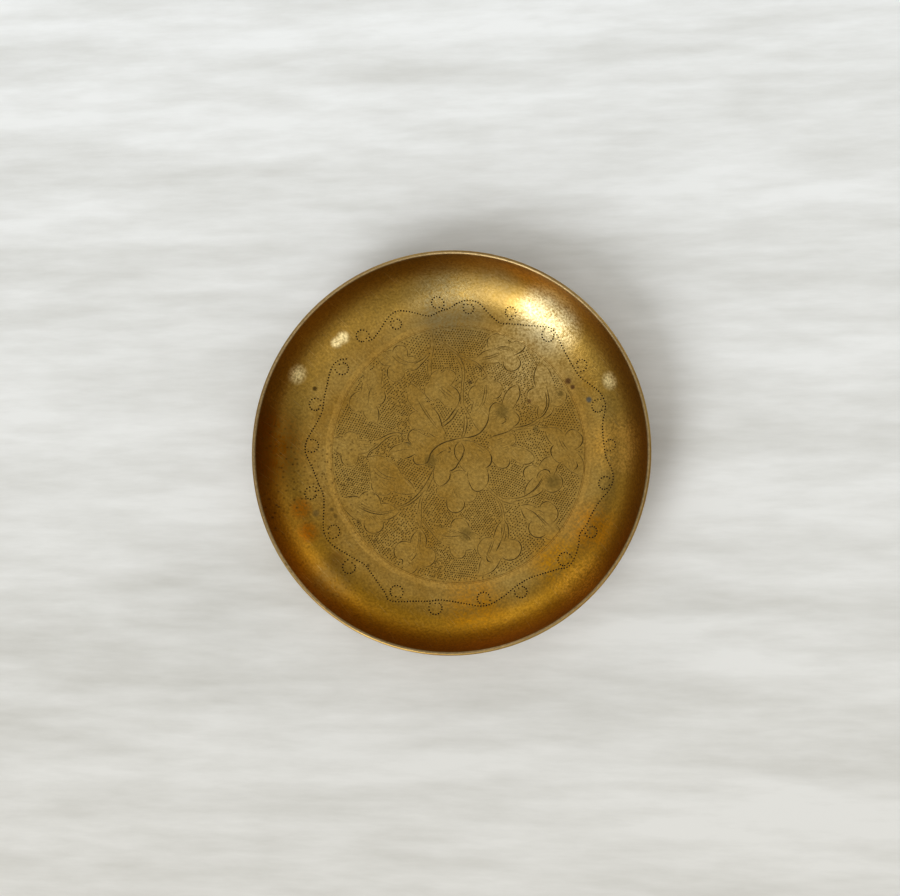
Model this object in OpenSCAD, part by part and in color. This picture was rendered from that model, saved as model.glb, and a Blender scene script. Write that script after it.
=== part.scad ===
// Round engraved brass tray: one spun sheet with a raised, coved wall and a thickened lip,
// standing on a strip-brass foot ring that is soldered underneath.
// Millimetres, +Z up, origin on the table under the centre of the tray.

/* [Dish] */
// Diameter over the lip
tray_d = 152; // [120:1:200]
// Thickness of the brass sheet
sheet_t = 1.2; // [1:0.1:1.6]
// Inside radius of the cove between floor and wall
cove_r = 23; // [16:1:28]
// Slope of the wall at the lip, from level
wall_slope = 78; // [60:1:85]
// Diameter of the rounded lip, where the edge of the sheet is upset a little
lip_d = 1.5; // [1.4:0.1:2.4]

/* [Foot] */
// Height of the foot, from the table to the underside of the dish
foot_h = 4; // [3:0.1:8]
// Outside diameter of the foot ring
foot_d = 88; // [60:1:92]
// Thickness of the strip that the ring is bent from
strip_t = 1.6; // [1.2:0.1:2.5]
// Chamfer on the two lower edges of the ring
foot_chamfer = 0.35; // [0.1:0.05:0.5]

/* [Solder] */
// Thickness of the solder film between ring and dish
film_t = 0.2; // [0.1:0.05:0.3]
// Leg of the solder fillet inside the ring, where it was fed in
inner_fillet = 1.2; // [0.6:0.1:1.6]
// Leg of the solder fillet outside the ring
outer_fillet = 0.6; // [0.4:0.1:1]
// Width of the solder that fills the butt joint of the strip
seam_w = 0.4; // [0.2:0.1:0.8]

/* [Hidden] */

// Smoothness of every turned surface
turn_fn = 180;
// Smoothness of the small round of the lip
lip_fn = 32;
// How far a solder fillet's face is drawn in towards its corner, as a share of its leg
hollow = 0.35;

// Radius to the middle of the sheet, at its curve
cove_mid = cove_r + sheet_t / 2;
// Radius where the flat floor ends and the cove begins, so that the lip comes out at tray_d
floor_r = tray_d / 2 - lip_d / 2 - cove_mid * sin(wall_slope);
// Height of the floor, where things stand
floor_top = foot_h + sheet_t;
// Height of the cove's centre
cove_z = floor_top + cove_r;
// Outer and inner radius of the foot ring
foot_ro = foot_d / 2;
foot_ri = foot_ro - strip_t;
// Top of the strip, below the solder film
strip_top = foot_h - film_t;
// Angle that the butt joint of the strip takes up
seam_angle = 360 * seam_w / (PI * (foot_d - strip_t));

// The sheet's section from the axis out to the lip
module dish_section() {
    // flat floor
    translate([0, foot_h])
        square([floor_r, sheet_t]);
    // cove and wall, one arc from level up to wall_slope
    translate([floor_r, cove_z])
        intersection() {
            difference() {
                circle(r = cove_r + sheet_t, $fn = turn_fn);
                circle(r = cove_r, $fn = turn_fn);
            }
            polygon([
                [0, 0],
                [0, -2 * cove_z],
                2 * cove_z * [tan(wall_slope / 2), -1],
                2 * cove_z * [sin(wall_slope), -cos(wall_slope)]
            ]);
        }
    // rounded lip
    translate([floor_r, cove_z] + cove_mid * [sin(wall_slope), -cos(wall_slope)])
        circle(d = lip_d, $fn = lip_fn);
}

// Spun brass sheet: floor, cove, wall and lip in one piece
module dish() {
    color("#a8863c")
        rotate_extrude($fn = turn_fn)
            dish_section();
}

// Section of the strip, with its lower edges eased
module strip_section() {
    polygon([
        [foot_ri + foot_chamfer, 0],
        [foot_ro - foot_chamfer, 0],
        [foot_ro, foot_chamfer],
        [foot_ro, strip_top],
        [foot_ri, strip_top],
        [foot_ri, foot_chamfer]
    ]);
}

// Brass strip bent to a ring, with a narrow butt joint left for the solder
module foot_ring() {
    color("#96732f")
        rotate([0, 0, seam_angle / 2])
            rotate_extrude(angle = 360 - seam_angle, $fn = turn_fn)
                strip_section();
}

// Soft solder that holds the ring: a film on top of the strip and a hollow fillet each side
module foot_solder() {
    color("#9a9486")
        rotate_extrude($fn = turn_fn)
            polygon([
                [foot_ri - inner_fillet, foot_h],
                [foot_ri - hollow * inner_fillet, foot_h - hollow * inner_fillet],
                [foot_ri, strip_top - inner_fillet],
                [foot_ri, strip_top],
                [foot_ro, strip_top],
                [foot_ro, strip_top - outer_fillet],
                [foot_ro + hollow * outer_fillet, foot_h - hollow * outer_fillet],
                [foot_ro + outer_fillet, foot_h]
            ]);
}

// Solder that fills the butt joint between the ends of the strip
module seam_solder() {
    color("#9a9486")
        rotate([0, 0, -seam_angle / 2])
            rotate_extrude(angle = seam_angle, $fn = turn_fn)
                strip_section();
}

dish();
foot_ring();
foot_solder();
seam_solder();
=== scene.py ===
import random
from math import acos, atan2, ceil, cos, hypot, pi, radians, sin, sqrt

import bmesh
import bpy
from mathutils import Euler, Matrix, Vector, noise


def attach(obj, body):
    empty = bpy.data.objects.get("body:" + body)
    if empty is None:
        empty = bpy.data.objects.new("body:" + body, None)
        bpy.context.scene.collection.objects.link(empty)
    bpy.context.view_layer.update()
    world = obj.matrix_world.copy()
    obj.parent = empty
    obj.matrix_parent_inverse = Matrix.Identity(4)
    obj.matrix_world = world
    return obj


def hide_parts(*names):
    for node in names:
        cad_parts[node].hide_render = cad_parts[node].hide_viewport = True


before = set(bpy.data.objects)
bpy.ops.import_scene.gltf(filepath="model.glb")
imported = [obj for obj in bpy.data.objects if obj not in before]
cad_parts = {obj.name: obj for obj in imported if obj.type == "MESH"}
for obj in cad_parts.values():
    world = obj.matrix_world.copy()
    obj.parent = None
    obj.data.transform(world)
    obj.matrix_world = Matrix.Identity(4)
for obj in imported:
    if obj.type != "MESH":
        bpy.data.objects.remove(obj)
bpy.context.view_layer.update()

scene = bpy.context.scene
scene.view_settings.view_transform = "Standard"

# Camera
# A long lens, 0.6 m over the tray and a little to its right and front, so that it
# looks down on the engraved floor and sees more of the left wall than of the right.
lens = bpy.data.cameras.new("camera")
lens.lens = 65.13
lens.sensor_width = 36
lens.shift_x = -0.0992
lens.shift_y = 0.0274
lens.clip_start = 0.01
lens.clip_end = 20
camera = bpy.data.objects.new("camera", lens)
camera.location = (0.1122, -0.0262, 0.6233)
camera.rotation_euler = Euler((radians(1.744), radians(7.397), 0))
scene.collection.objects.link(camera)
scene.camera = camera

# Table top
# A sheet of smooth board that the tray stands on, painted pale grey with a wide brush and
# left matt. It lies flat and is bigger than the view.
def linear(code):
    """An sRGB colour, as six hex digits, turned to linear light."""
    parts = [int(code[i : i + 2], 16) / 255 for i in (0, 2, 4)]
    return [c / 12.92 if c <= 0.04045 else ((c + 0.055) / 1.055) ** 2.4 for c in parts] + [1]


def add(tree, kind, inputs=(), **settings):
    """Adds one node, with its settings, and its sockets as values or as other nodes' outputs."""
    made = tree.nodes.new(kind)
    for name, value in settings.items():
        setattr(made, name, value)
    for socket, value in dict(inputs).items():
        if isinstance(value, bpy.types.NodeSocket):
            tree.links.new(value, made.inputs[socket])
        else:
            made.inputs[socket].default_value = value
    return made


def new_material(name):
    """An empty node material, with its tree, its Object coordinates and its shader."""
    made = bpy.data.materials.new(name)
    made.use_nodes = True
    tree = made.node_tree
    tree.nodes.clear()
    place = add(tree, "ShaderNodeTexCoord").outputs["Object"]
    shader = add(tree, "ShaderNodeBsdfPrincipled")
    add(tree, "ShaderNodeOutputMaterial", {"Surface": shader.outputs["BSDF"]})
    return made, tree, place, shader


bm = bmesh.new()
bmesh.ops.create_grid(bm, x_segments=1, y_segments=1, size=3)
board_mesh = bpy.data.meshes.new("table_top")
bm.to_mesh(board_mesh)
bm.free()
board = bpy.data.objects.new("table_top", board_mesh)
scene.collection.objects.link(board)

# Matt painted board: pale grey. Its colour is graded from darker and warmer at the front to
# lighter at the back, which is painted light: the light falling off towards the front. The
# paint was brushed on from side to side, which leaves soft bands about 35 mm wide and 0.3 m
# long, and finer streaks about 8 mm wide and 40 mm long. Matt paint scatters light evenly, so
# it is rough.
board_paint, tree, place, shader = new_material("painted_board_matt")
brushed = add(tree, "ShaderNodeMapping", {"Vector": place, "Scale": (3.5, 28, 1)})
bands = add(tree, "ShaderNodeTexNoise", {"Vector": brushed.outputs["Vector"], "Scale": 1.0, "Detail": 5.0})
finer = add(tree, "ShaderNodeMapping", {"Vector": place, "Scale": (24, 130, 1)})
streaks = add(
    tree,
    "ShaderNodeTexNoise",
    {"Vector": finer.outputs["Vector"], "Scale": 1.0, "Detail": 8.0, "Roughness": 0.62},
)
both = add(
    tree,
    "ShaderNodeMix",
    {0: 0.4, 2: bands.outputs["Fac"], 3: streaks.outputs["Fac"]},
    data_type="FLOAT",
)
tone = add(tree, "ShaderNodeValToRGB", {"Fac": both.outputs[0]})
tone.color_ramp.elements[0].position = 0.34
tone.color_ramp.elements[0].color = linear("D5D4D0")
tone.color_ramp.elements[1].position = 0.58
tone.color_ramp.elements[1].color = linear("F0F0EF")
# Painted light: the board darker and warmer at the front, lighter at the back.
along = add(tree, "ShaderNodeSeparateXYZ", {"Vector": place}).outputs["Y"]
back = add(tree, "ShaderNodeMapRange", {0: along, 1: -0.2, 2: 0.2, 3: 0.0, 4: 1.0})
painted_light_falloff = add(
    tree,
    "ShaderNodeMix",
    {0: back.outputs[0], 6: linear("E9E6E1"), 7: linear("FDFEFF")},
    data_type="RGBA",
)
paint = add(
    tree,
    "ShaderNodeMix",
    {0: 1.0, 6: tone.outputs["Color"], 7: painted_light_falloff.outputs[2]},
    data_type="RGBA",
    blend_type="MULTIPLY",
)
tree.links.new(paint.outputs[2], shader.inputs["Base Color"])
shader.inputs["Roughness"].default_value = 0.8
board_mesh.materials.append(board_paint)

# Light
# A pale room with a broad soft light at the front left, which throws the soft shadow to
# the back right, and weaker ones at the front right, the right and the back left.
room = bpy.data.worlds.new("room")
room.use_nodes = True
room.node_tree.nodes.clear()
up = add(room.node_tree, "ShaderNodeTexCoord").outputs["Generated"]
height = add(room.node_tree, "ShaderNodeSeparateXYZ", {"Vector": up}).outputs["Z"]
sky = add(room.node_tree, "ShaderNodeValToRGB", {"Fac": height})
for position, colour in (
    (0.15, (0.48, 0.48, 0.47, 1)),
    (0.30, (0.85, 0.86, 0.85, 1)),
    (0.55, (0.22, 0.22, 0.21, 1)),
    (0.80, (0.40, 0.41, 0.39, 1)),
    (0.92, (1.15, 1.16, 1.12, 1)),
    (0.98, (0.70, 0.66, 0.60, 1)),
):
    stop = sky.color_ramp.elements.new(position)
    stop.color = colour
sky.color_ramp.elements.remove(sky.color_ramp.elements[-1])
sky.color_ramp.elements.remove(sky.color_ramp.elements[0])
glow = add(room.node_tree, "ShaderNodeBackground", {"Color": sky.outputs["Color"], "Strength": 1.0})
add(room.node_tree, "ShaderNodeOutputWorld", {"Surface": glow.outputs["Background"]})
scene.world = room


def soft_light(name, compass, elevation, spread, power, colour):
    """A far light, with its compass angle, its height and its width in degrees."""
    level = cos(radians(elevation))
    aim = Vector((cos(radians(compass)) * level, sin(radians(compass)) * level, sin(radians(elevation))))
    lamp = bpy.data.lights.new(name, "SUN")
    lamp.angle = radians(spread)
    lamp.energy = power
    lamp.color = linear(colour)[:3]
    holder = bpy.data.objects.new(name, lamp)
    holder.location = aim
    holder.rotation_euler = aim.to_track_quat("Z", "Y").to_euler()
    scene.collection.objects.link(holder)


soft_light("main_light", 235, 42, 30, 1.50, "F7FBFF")
soft_light("low_main_light", 240, 15, 30, 0.50, "F7FBFF")
soft_light("right_front_light", 312, 40, 30, 0.30, "FFFCF8")
soft_light("right_light", 48, 15, 22, 0.24, "FFFCF8")
soft_light("back_left_light", 120, 28, 30, 0.22, "FFFCF8")

# Dish
# The tray itself: a disc of sheet brass, 1.2 mm thick, spun over a chuck into a flat
# floor, a deep cove and a steep wall, with its edge upset to a small rounded lip.
# Its sizes are in millimetres until its finish is put on.
lip_reach = 76
floor_height = 5.2
sheet = 1.2
cove = 23.0
wall_slope = radians(78)
lip = 0.75
floor_radius = lip_reach - lip - (cove + sheet / 2) * sin(wall_slope)
cove_centre = Vector((floor_radius, 0, floor_height + cove))
lip_centre = cove_centre + Vector((sin(wall_slope), 0, -cos(wall_slope))) * (cove + sheet / 2)


def corner(a, b, opposite):
    """The angle between sides a and b of a triangle."""
    return acos((a * a + b * b - opposite * opposite) / (2 * a * b))


middle = cove + sheet / 2
inner_arc = wall_slope - corner(cove, middle, lip)
outer_arc = wall_slope - corner(cove + sheet, middle, lip)
lip_arc = 2 * pi - corner(lip, middle, cove + sheet) + corner(lip, middle, cove)

start = floor_radius - 0.4
bm = bmesh.new()
first = bm.verts.new((start, 0, floor_height))
last = bm.verts.new((floor_radius, 0, floor_height))
bm.edges.new((first, last))
for centre, angle, steps in (
    (cove_centre, -inner_arc, 24),
    (lip_centre, lip_arc, 18),
    (cove_centre, outer_arc, 20),
):
    made = bmesh.ops.spin(bm, geom=[last], cent=centre, axis=(0, 1, 0), angle=angle, steps=steps)
    last = [v for v in made["geom_last"] if isinstance(v, bmesh.types.BMVert)][0]
under = bm.verts.new((start, 0, floor_height - sheet))
bm.edges.new((last, under))
bmesh.ops.spin(
    bm,
    geom=bm.verts[:] + bm.edges[:],
    cent=(0, 0, 0),
    axis=(0, 0, 1),
    angle=2 * pi,
    steps=180,
    use_merge=True,
)
bmesh.ops.remove_doubles(bm, verts=bm.verts, dist=0.001)
bmesh.ops.holes_fill(bm, edges=[e for e in bm.edges if e.is_boundary], sides=0)
bmesh.ops.recalc_face_normals(bm, faces=bm.faces)
dish_mesh = bpy.data.meshes.new("dish_spun")
bm.to_mesh(dish_mesh)
bm.free()
dish = bpy.data.objects.new("engraved_dish", dish_mesh)
scene.collection.objects.link(dish)


def cut(piece, cutter_mesh):
    """Takes a closed cutter away from a closed piece, and keeps the result as its mesh."""
    cutter = bpy.data.objects.new("cutter", cutter_mesh)
    scene.collection.objects.link(cutter)
    taken = piece.modifiers.new("cut", "BOOLEAN")
    taken.operation = "DIFFERENCE"
    taken.solver = "MANIFOLD"
    taken.object = cutter
    graph = bpy.context.evaluated_depsgraph_get()
    result = bpy.data.meshes.new_from_object(piece.evaluated_get(graph))
    piece.modifiers.clear()
    piece.data = result
    bpy.data.objects.remove(cutter)


# Engraved bouquet
# Flowers, leaves and stems cut by hand into the floor with a square graver: V-shaped
# strokes 0.3 to 0.5 mm wide that thin out at both ends.

# For each figure, in millimetres from its centre: its outline in order, then the veins and
# shading inside it. A stroke is its width and the points it runs through. Width NONE only
# closes the outline, and isn't cut.
DEEP, MID, FINE, NONE = 0.5, 0.38, 0.27, 0.0
bouquet = {
    "left_bloom": ([
        (DEEP, (-13.6, -3.4), (-12.4, -2.4), (-11.8, -0.8), (-11.2, 0.8), (-9, 3.2), (-6.2, 4.8), (-3, 5.8),
         (1.2, 6.7)),
        (DEEP, (1.7, 1.4), (1.1, -0.4), (-0.7, -3.4), (-1.7, -5), (-2.9, -5.8), (-4.1, -6.2)),
        (MID, (-3.7, -6.5), (-3.7, -8), (-4.6, -10.1), (-6.3, -11.5), (-7.8, -12)),
        (FINE, (-7.8, -12), (-9.3, -10.9), (-10.1, -9), (-10.2, -6.8), (-9.7, -4.3)),
        (MID, (-9.7, -4.2), (-10.8, -3.9), (-11.8, -3.2)),
    ], [
        (MID, (-9, -0.2), (-7.3, 1.1), (-5.2, 2.1)),
        (DEEP, (-4.4, 3.3), (-3.8, 2.6), (-3.5, 2)),
        (DEEP, (-4.7, 1), (-4.1, 1.2), (-3.5, 1.5)),
        (FINE, (-8.6, -1), (-8.1, -2.6)), (FINE, (-7.6, -0.7), (-7.2, -2.9)),
        (FINE, (-6.7, -1.2), (-6.4, -3.3)),
        (FINE, (-5.8, -0.9), (-5.5, -2.6)),
    ]),
    "bud": ([
        (MID, (-0.2, 5.2), (-1.4, 3.9), (-2, 2.1), (-1.9, 0.4), (-1.3, -1.1), (-0.3, -2.4)),
        (MID, (0.9, 0.1), (1.7, 1.4), (1.6, 3), (0.6, 4.8)),
    ], [
        (FINE, (-1.3, 1), (-1.1, -0.2)), (FINE, (-0.6, 3.2), (0.4, 2.9)), (FINE, (-0.3, 1.4), (0.3, 0.4)),
    ]),
    "right_bloom": ([
        (FINE, (0.9, 5.6), (3.2, 5.5), (5.6, 5), (8.4, 3.6), (11, 1.8), (11.8, 0.6)),
        (DEEP, (11.8, 0.6), (12.4, -1.2), (12.2, -3), (11.4, -4.2), (10, -5.1)),
        (MID, (10.6, -5.5), (11.2, -7.8), (11.1, -10.2), (9.7, -12.7)),
        (MID, (9.7, -12.7), (8.4, -13.7), (6.9, -14.1), (5.2, -13.3), (4, -11.4), (3.5, -9.8)),
        (FINE, (3.4, -9.4), (3.1, -8), (3, -6.6)),
        (FINE, (3, -6.6), (1.6, -5.8), (0.5, -4.5), (-0.4, -2.9)),
    ], [
        (DEEP, (7.4, -4.7), (8, -4.6)), (MID, (11.2, -5.3), (11.7, -5.5)),
        (FINE, (5.9, 3.9), (8, 2.8), (9.8, 1.4)), (FINE, (6.8, 2.4), (8.2, 1.5), (9.3, 0.7)),
        (FINE, (4.5, 2.2), (5.2, 1.9)), (FINE, (3.2, 0.6), (4.6, 0.2)), (FINE, (2.8, -1.2), (3.2, -2.4)),
        (FINE, (4.2, -0.8), (5.4, -1.2)), (FINE, (5.8, 0.8), (7, 0.1)), (FINE, (6.6, -1), (7.6, -1.9)),
        (FINE, (4.6, -2.4), (5.6, -3)),
    ]),
    "hanging_bloom": ([
        (MID, (-8.3, -12.4), (-9.1, -13.3), (-8.8, -14.7)),
        (FINE, (-8.7, -14.9), (-7.6, -16.1), (-6.4, -16.5), (-5, -16.5)),
        (MID, (-4.9, -16.6), (-5, -18.8), (-4.4, -20.9), (-2.2, -22.2), (0.2, -21.7), (1.7, -20),
         (1.9, -18.5), (1.5, -17.5)),
        (FINE, (2.3, -17.6), (4, -18.2), (5.6, -17.4), (6.6, -15.9), (6.8, -14.3)),
        (NONE, (5.2, -13.3), (3.5, -10), (3, -6.6)),
        (FINE, (2.4, -6.4), (0.8, -5.9), (-1.2, -6), (-3, -6.9)),
        (NONE, (-3.7, -8), (-6.3, -11.5)),
    ], [
        (FINE, (-3.9, -10.5), (-2.7, -9.9)), (FINE, (-4.2, -11.6), (-2.9, -11)),
        (FINE, (-4.2, -13.8), (-3.2, -12.8)),
        (MID, (-2.5, -12.6), (-1.9, -14.9)), (FINE, (-1.9, -12.6), (-1.4, -15.4)),
        (FINE, (-2.9, -13.6), (-2.3, -16.2)),
        (FINE, (-1.2, -13.9), (-1, -16.4)), (FINE, (2.9, -13.7), (3.6, -13.9)),
        (FINE, (4.3, -15.5), (5, -15.7)),
    ]),
    "left_trefoil": ([
        (MID, (-19.2, 4.8), (-20.1, 6), (-20, 8.2), (-19, 9.6), (-17.7, 9.9), (-16.4, 9.5)),
        (FINE, (-16.4, 9.5), (-14.4, 8.2), (-12, 7.3), (-10.4, 7)),
        (NONE, (-3, 5.8), (-9, 3.2), (-11.8, -0.8)),
        (MID, (-13.6, -3.4), (-15.7, -3.7), (-17.4, -3.1), (-18.1, -1.7), (-17.9, -0.6)),
        (DEEP, (-17.4, 0.5), (-19.6, -0.7), (-21.3, -1.2)),
        (NONE, (-24, -1.4), (-26.6, -0.4)),
        (MID, (-28, 0.9), (-27, 2.4), (-25.3, 3.7), (-22.7, 4.6)),
        (DEEP, (-22, 4.8), (-20.4, 4.9), (-19, 4.8)),
    ], [
        (FINE, (-25.6, 1.4), (-22.4, 2.2), (-18.6, 2.2)), (FINE, (-16.6, 3.8), (-15.2, 2.6)),
        (FINE, (-15.6, 4.6), (-14.4, 3.2)), (FINE, (-14.6, 5), (-13.4, 3.8)),
        (FINE, (-17.2, 2.6), (-16.2, 1.6)),
    ]),
    "upper_left_leaf": ([
        (MID, (-5.8, 9.2), (-6.9, 11.4), (-7.7, 14.2), (-9, 16.7), (-10.8, 18.5)),
        (NONE, (-12.6, 20.6), (-13.6, 23)),
        (MID, (-13.7, 23.4), (-14.6, 24.4), (-15.5, 24.9)),
        (FINE, (-15.9, 25.4), (-17.2, 26.7), (-19.2, 27.7), (-20.4, 26)),
        (FINE, (-20.6, 23.6), (-20.3, 21.6), (-19.4, 20)),
        (MID, (-19.4, 20), (-18, 18.1), (-16.2, 16.8)),
        (MID, (-17.4, 17), (-19.1, 16.2), (-20.1, 14.5)),
        (FINE, (-20.1, 14.5), (-19.8, 12.6), (-18.6, 11)),
        (FINE, (-17.8, 10.3), (-15, 9.8), (-12.5, 9)),
        (MID, (-12.5, 9), (-10.8, 7.7), (-9, 6.8)),
        (NONE, (-6, 6.4)),
    ], [
        (FINE, (-8.6, 10), (-11.4, 13.4), (-14.2, 17.4), (-16.8, 22.2)),
        (FINE, (-9.4, 11.8), (-12.2, 15.8), (-14.8, 20)),
        (FINE, (-17.6, 13.2), (-16.9, 13.9)), (FINE, (-12.6, 12.4), (-13.4, 11.2)),
        (FINE, (-13.4, 14), (-14.6, 12.8)),
        (FINE, (-11.2, 11), (-11.8, 9.8)), (FINE, (-13.4, 18.6), (-13, 19.4)),
    ]),
    "upper_middle_bloom": ([
        (MID, (-9.7, 20.8), (-9.2, 21.4), (-8.4, 21.9)),
        (FINE, (-8.4, 21.9), (-7.2, 20.5), (-5.8, 19.2), (-3.8, 18.5)),
        (NONE, (-2, 18.4)),
        (MID, (-1, 19), (-0.2, 20.8), (0, 22.6), (-0.6, 24.4), (-1.9, 25.9), (-3.6, 26.9)),
        (MID, (-3.6, 26.9), (-2.6, 28.2), (-1.5, 30.1)),
        (FINE, (-1.4, 30.6), (-2, 32), (-3.6, 32.9), (-5.4, 33.2)),
        (MID, (-5.6, 33.2), (-6.4, 32.5), (-7.2, 31.8)),
        (FINE, (-7.4, 32.4), (-9.4, 32.6), (-11.2, 31.2), (-12, 29.4)),
        (MID, (-12, 28.4), (-12.9, 27.6), (-13.5, 26.6)),
        (FINE, (-13.6, 26.2), (-13.7, 24.2), (-12.8, 22.5), (-11.2, 21.2), (-9.8, 20.8)),
    ], [
        (FINE, (-7.6, 26.4), (-5.8, 24.6), (-4.2, 23.4), (-2.4, 22)), (MID, (-4.6, 23.7), (-3.6, 22.8)),
        (FINE, (-8.2, 25.6), (-6.4, 23.9), (-4.4, 22.2)), (FINE, (-6.6, 26.8), (-4.8, 25.2), (-3, 23.8)),
        (FINE, (-5, 22.2), (-4, 21)), (FINE, (-6.2, 23.2), (-5.2, 21.6)),
    ]),
    "scroll": ([
        (DEEP, (1.2, 6.7), (4, 6.9), (7, 7.9), (9.3, 10), (10.9, 13), (11.4, 16)),
        (MID, (11.4, 16), (11.6, 17.5), (12.8, 19.5), (14.3, 20.1), (16.2, 19.3)),
    ], []),
    "tongue_leaf": ([
        (MID, (10.6, 30.4), (9.7, 29.6), (8.6, 28.9)),
        (FINE, (8, 29.4), (7.1, 29.3), (6.2, 28.1), (5.8, 27)),
        (MID, (6.8, 26.7), (5.7, 26.7), (4.4, 25.8), (3.5, 24.3)),
        (FINE, (3.5, 24.3), (3.5, 22.7), (4.1, 21.3), (5.8, 20.6)),
        (MID, (5.5, 20.4), (4.8, 18.8), (4.6, 17.2)),
        (NONE, (4.4, 15.5)),
        (MID, (4.2, 14.6), (4.9, 13.1)),
        (FINE, (4.9, 13.1), (6.2, 11), (7.7, 9.2)),
        (NONE, (9.3, 10), (10.9, 13), (11.6, 17.5)),
        (FINE, (12.2, 18.8), (12.9, 20.4)),
        (MID, (13.2, 21.7), (14.8, 22), (15.8, 22.9), (16.4, 24.2)),
        (FINE, (16.5, 25.2), (16.2, 27), (14.8, 28.3), (13, 28.6)),
        (FINE, (12.6, 29.2), (11.4, 30.4)),
    ], [
        (MID, (9.9, 27), (9.5, 23.6), (8.6, 20)), (FINE, (10.5, 27.4), (10.3, 23.4), (9.4, 19.2)),
        (FINE, (7.4, 25.2), (9.2, 26.6)), (FINE, (7.3, 24.4), (9.2, 25.8)), (FINE, (7.3, 23.6), (9.1, 25)),
        (FINE, (7.4, 22.8), (9, 24.1)), (MID, (9.8, 20.8), (8.8, 19)), (MID, (8.5, 20), (7.6, 18.4)),
        (FINE, (7.6, 20.6), (6.8, 18.8)), (FINE, (7.2, 18), (6.2, 17)), (FINE, (7.9, 17.2), (7, 16)),
        (FINE, (6.7, 20.4), (5.9, 18.6)), (FINE, (10.9, 24.6), (11.5, 21.4)),
    ]),
    "sun_bloom": ([
        (NONE, (11.6, 17.5), (12.8, 19.5), (14.3, 20.1)),
        (MID, (16.3, 19), (16.9, 21.4), (18.2, 24.2), (20, 26), (22.4, 27.2)),
        (MID, (22.5, 27.1), (23.2, 25.2), (23.3, 23), (22.3, 20.6), (20.5, 17.5)),
        (MID, (20.6, 17.3), (22.2, 15.8), (23.1, 14.2), (22.9, 12.6), (21.8, 11.4), (20.5, 10.5)),
        (NONE, (18, 8.9), (13, 7.4), (9.3, 9.4)),
    ], [
        (MID, (12.9, 15.4), (14.6, 15.9)), (FINE, (12.8, 14.6), (14.8, 15)),
        (FINE, (13, 13.8), (14.6, 14.1)),
        (MID, (16, 16.2), (16.8, 15.8)), (MID, (16.6, 15.2), (17.6, 14.2), (18, 13.2)),
        (FINE, (17.2, 15.6), (18.4, 14.4)),
        (MID, (17.9, 13.1), (17, 12.3), (15.9, 11.8)), (FINE, (18.3, 13.8), (17.6, 12.2)),
        (FINE, (19, 14), (18.4, 12.6)),
        (FINE, (15.2, 16.6), (13.6, 16.6)), (FINE, (18, 20.6), (19.6, 22.6)),
    ]),
    "side_bloom": ([
        (NONE, (11.2, 6.2), (14.6, 7.6)),
        (FINE, (18.6, 8.5), (20.4, 8.2), (21.7, 6.8), (21.7, 5), (20.9, 3.9), (19.2, 3.3)),
        (MID, (19.4, 3.4), (20.7, 3.5), (22.1, 3.1)),
        (FINE, (22.4, 2.8), (25, 2.4), (27.2, 1.2), (28.6, -0.4), (29.1, -1.7)),
        (MID, (29.2, -1.8), (27.8, -3.1), (25.6, -3.7), (23.4, -3.4)),
        (FINE, (23.4, -3.4), (21.4, -2.2), (19.7, -0.9)),
        (MID, (19.3, -1.6), (19.3, -3.4), (18.5, -4.6), (16.8, -5.2), (14.9, -4.6)),
        (FINE, (14.9, -4.6), (13.6, -3.6), (12.6, -2.2)),
        (NONE, (12.4, -1.2), (11.4, 1.4)),
    ], [
        (FINE, (12.4, 3.9), (12.5, 2.9)), (MID, (14.4, 5.6), (16.4, 6.4)), (FINE, (14.4, 4.8), (17, 5.8)),
        (FINE, (15, 4), (17.8, 5)), (MID, (16, 3.4), (18.6, 4)), (FINE, (16.8, 2.6), (18.8, 3.2)),
        (FINE, (17.6, 1.8), (19.4, 2.4)),
        (FINE, (16.2, -1.4), (17.2, -2.6)), (FINE, (17.4, -0.8), (18.2, -1.8)),
        (FINE, (25.2, 0.4), (25.9, 0.1)),
    ]),
    "crown_leaf": ([
        (MID, (6.6, 37.6), (7.8, 38.8), (9.6, 40), (11.9, 40.6)),
        (MID, (10.8, 41.8), (10.6, 43.4), (11.2, 45.1), (12.6, 46.3)),
        (MID, (12.6, 46.3), (14.4, 46.8), (16.2, 46.4), (17.7, 45.2)),
        (FINE, (18.2, 44.4), (18.4, 42.8)),
        (FINE, (19.1, 42.8), (21, 43.5), (23.4, 43.6), (25.4, 43)),
        (DEEP, (25.7, 42.5), (25, 40.9), (23.4, 39.4), (21.1, 38.3)),
        (MID, (22.3, 37.8), (23.4, 36.2), (23.5, 34.5), (22.4, 33), (20.2, 32.2), (18.4, 32.6), (17.2, 34),
         (17.1, 36)),
        (MID, (15.8, 35.9), (14.2, 35.4), (12.2, 35.2)),
        (FINE, (12.2, 35.2), (9.6, 35.7), (7.4, 36.7)),
    ], [
        (MID, (8.3, 37.7), (11.4, 38), (15.2, 39.3)), (MID, (8.7, 36.7), (11.8, 37.3), (15.2, 38.5)),
        (FINE, (9.4, 36.2), (12.4, 36.4)), (FINE, (12.3, 39.8), (13.1, 41.2)),
        (FINE, (13.2, 40.2), (14, 41.6)),
        (MID, (13.6, 40.7), (16.4, 41.7), (19.4, 41.4)), (FINE, (14.4, 40.4), (16.8, 41.2), (19.2, 40.9)),
        (FINE, (15.6, 40.2), (17.4, 40.6), (19.6, 40.2)), (FINE, (18.4, 41.8), (19.6, 40)),
        (FINE, (19.4, 41.4), (20.6, 39.8)),
        (FINE, (20, 40.6), (21.4, 39.4)), (FINE, (17, 37.4), (17.9, 36.6)),
    ]),
    "tall_leaf": ([
        (MID, (30.8, 35.8), (29.6, 33.4), (28.8, 30.6), (28.8, 28.2), (29.5, 26.1)),
        (MID, (29.4, 25.8), (27.7, 25.3), (26.4, 24.1), (26, 22.4)),
        (FINE, (26, 22.4), (26.5, 20.7), (28, 19.1), (30.5, 18.6)),
        (MID, (30.5, 18.4), (30, 16.2), (30.6, 14.1)),
        (NONE, (32, 13.5)),
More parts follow.
